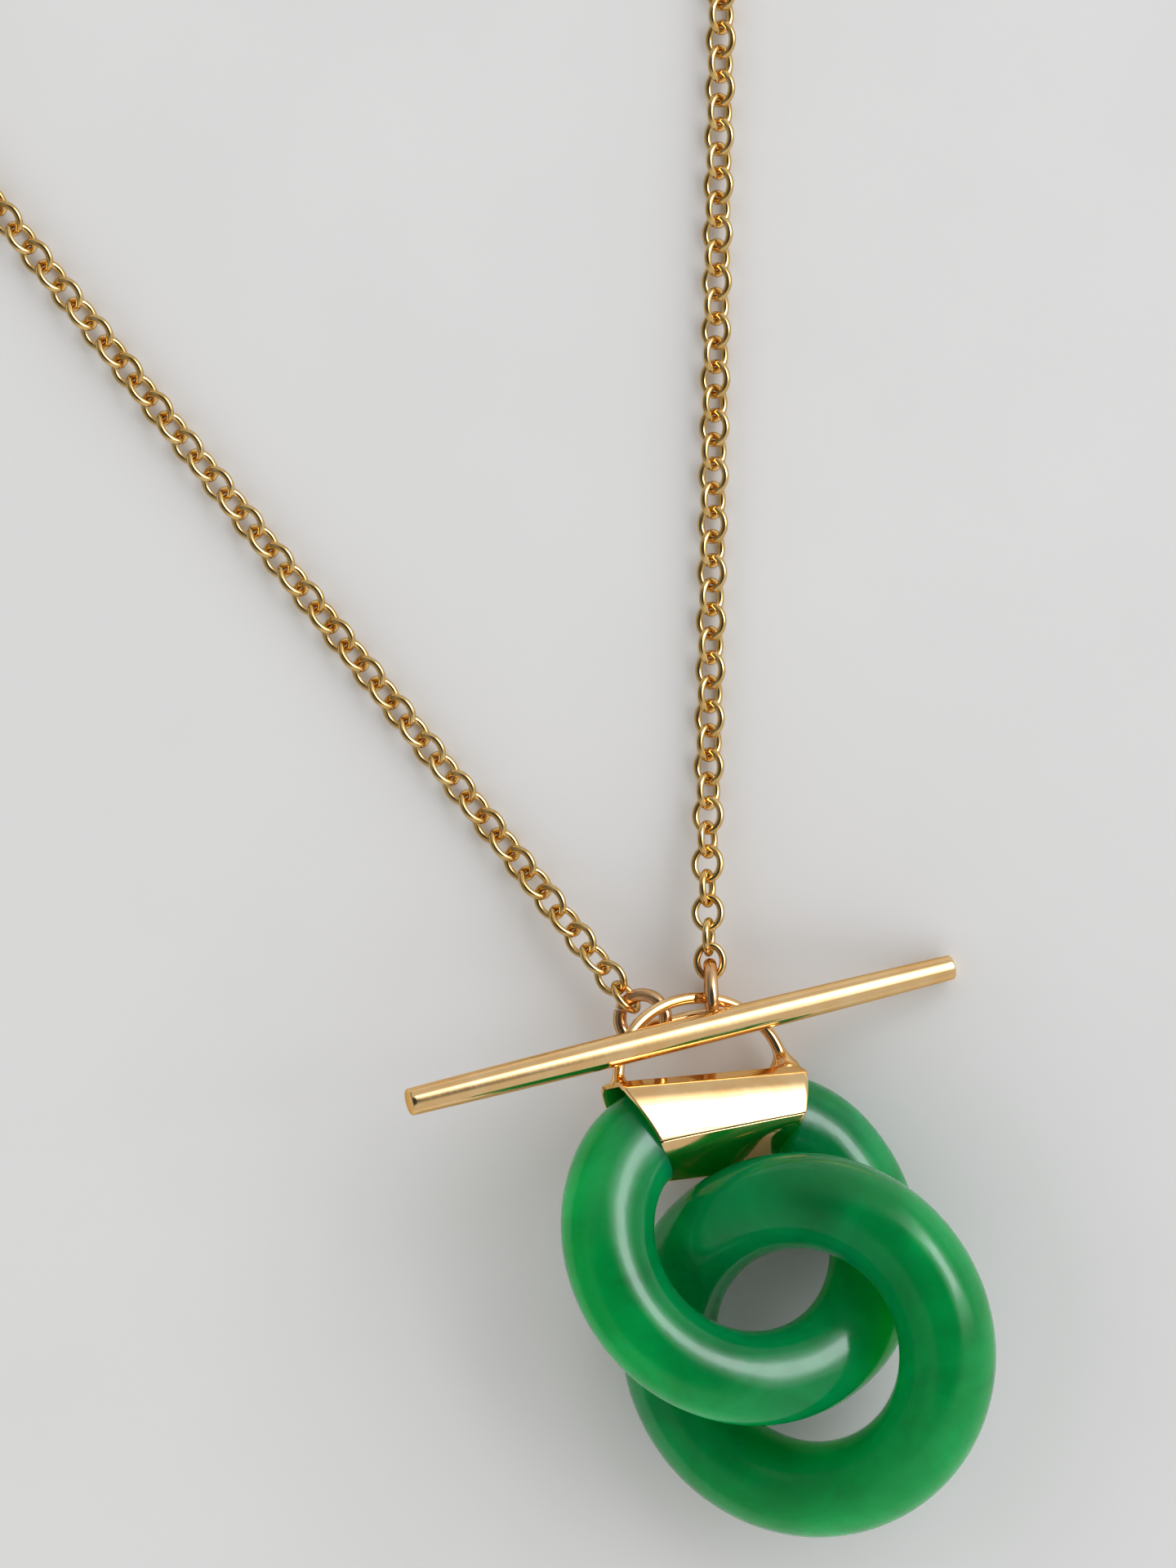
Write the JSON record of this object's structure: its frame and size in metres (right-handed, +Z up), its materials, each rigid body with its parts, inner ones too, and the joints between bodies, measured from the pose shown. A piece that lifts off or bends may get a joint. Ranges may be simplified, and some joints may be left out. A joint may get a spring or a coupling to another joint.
{
  "type": "jade necklace",
  "caption": "Cable-chain necklace laid flat, with a toggle bar and two interlocked jade rings hanging from a sheet-metal bail.",
  "frame": {"origin": "middle of the laid-out necklace's own box, on the surface that it lies on", "axes": "+Z up from the surface, +Y along the middle of the loop from the pendant to the clasp, +X to the right as seen from above"},
  "size_m": [0.0896, 0.2072, 0.014],
  "materials": {
    "jade": "polished, waxy, slightly translucent",
    "gold": "polished yellow gold with fine scratches",
    "chain_gold": "polished yellow gold wire",
    "jump_gold": "scuffed reddish gold wire"
  },
  "bodies": {
    "root": {"chain_left": "chain_gold", "chain_right": "chain_gold", "clasp": "chain_gold", "jump_ring_left": "jump_gold", "jump_ring_right": "jump_gold", "t_bar": "gold", "bail": "gold", "jade_ring_upper": "jade", "jade_ring_lower": "jade"}
  },
  "joints": []
}
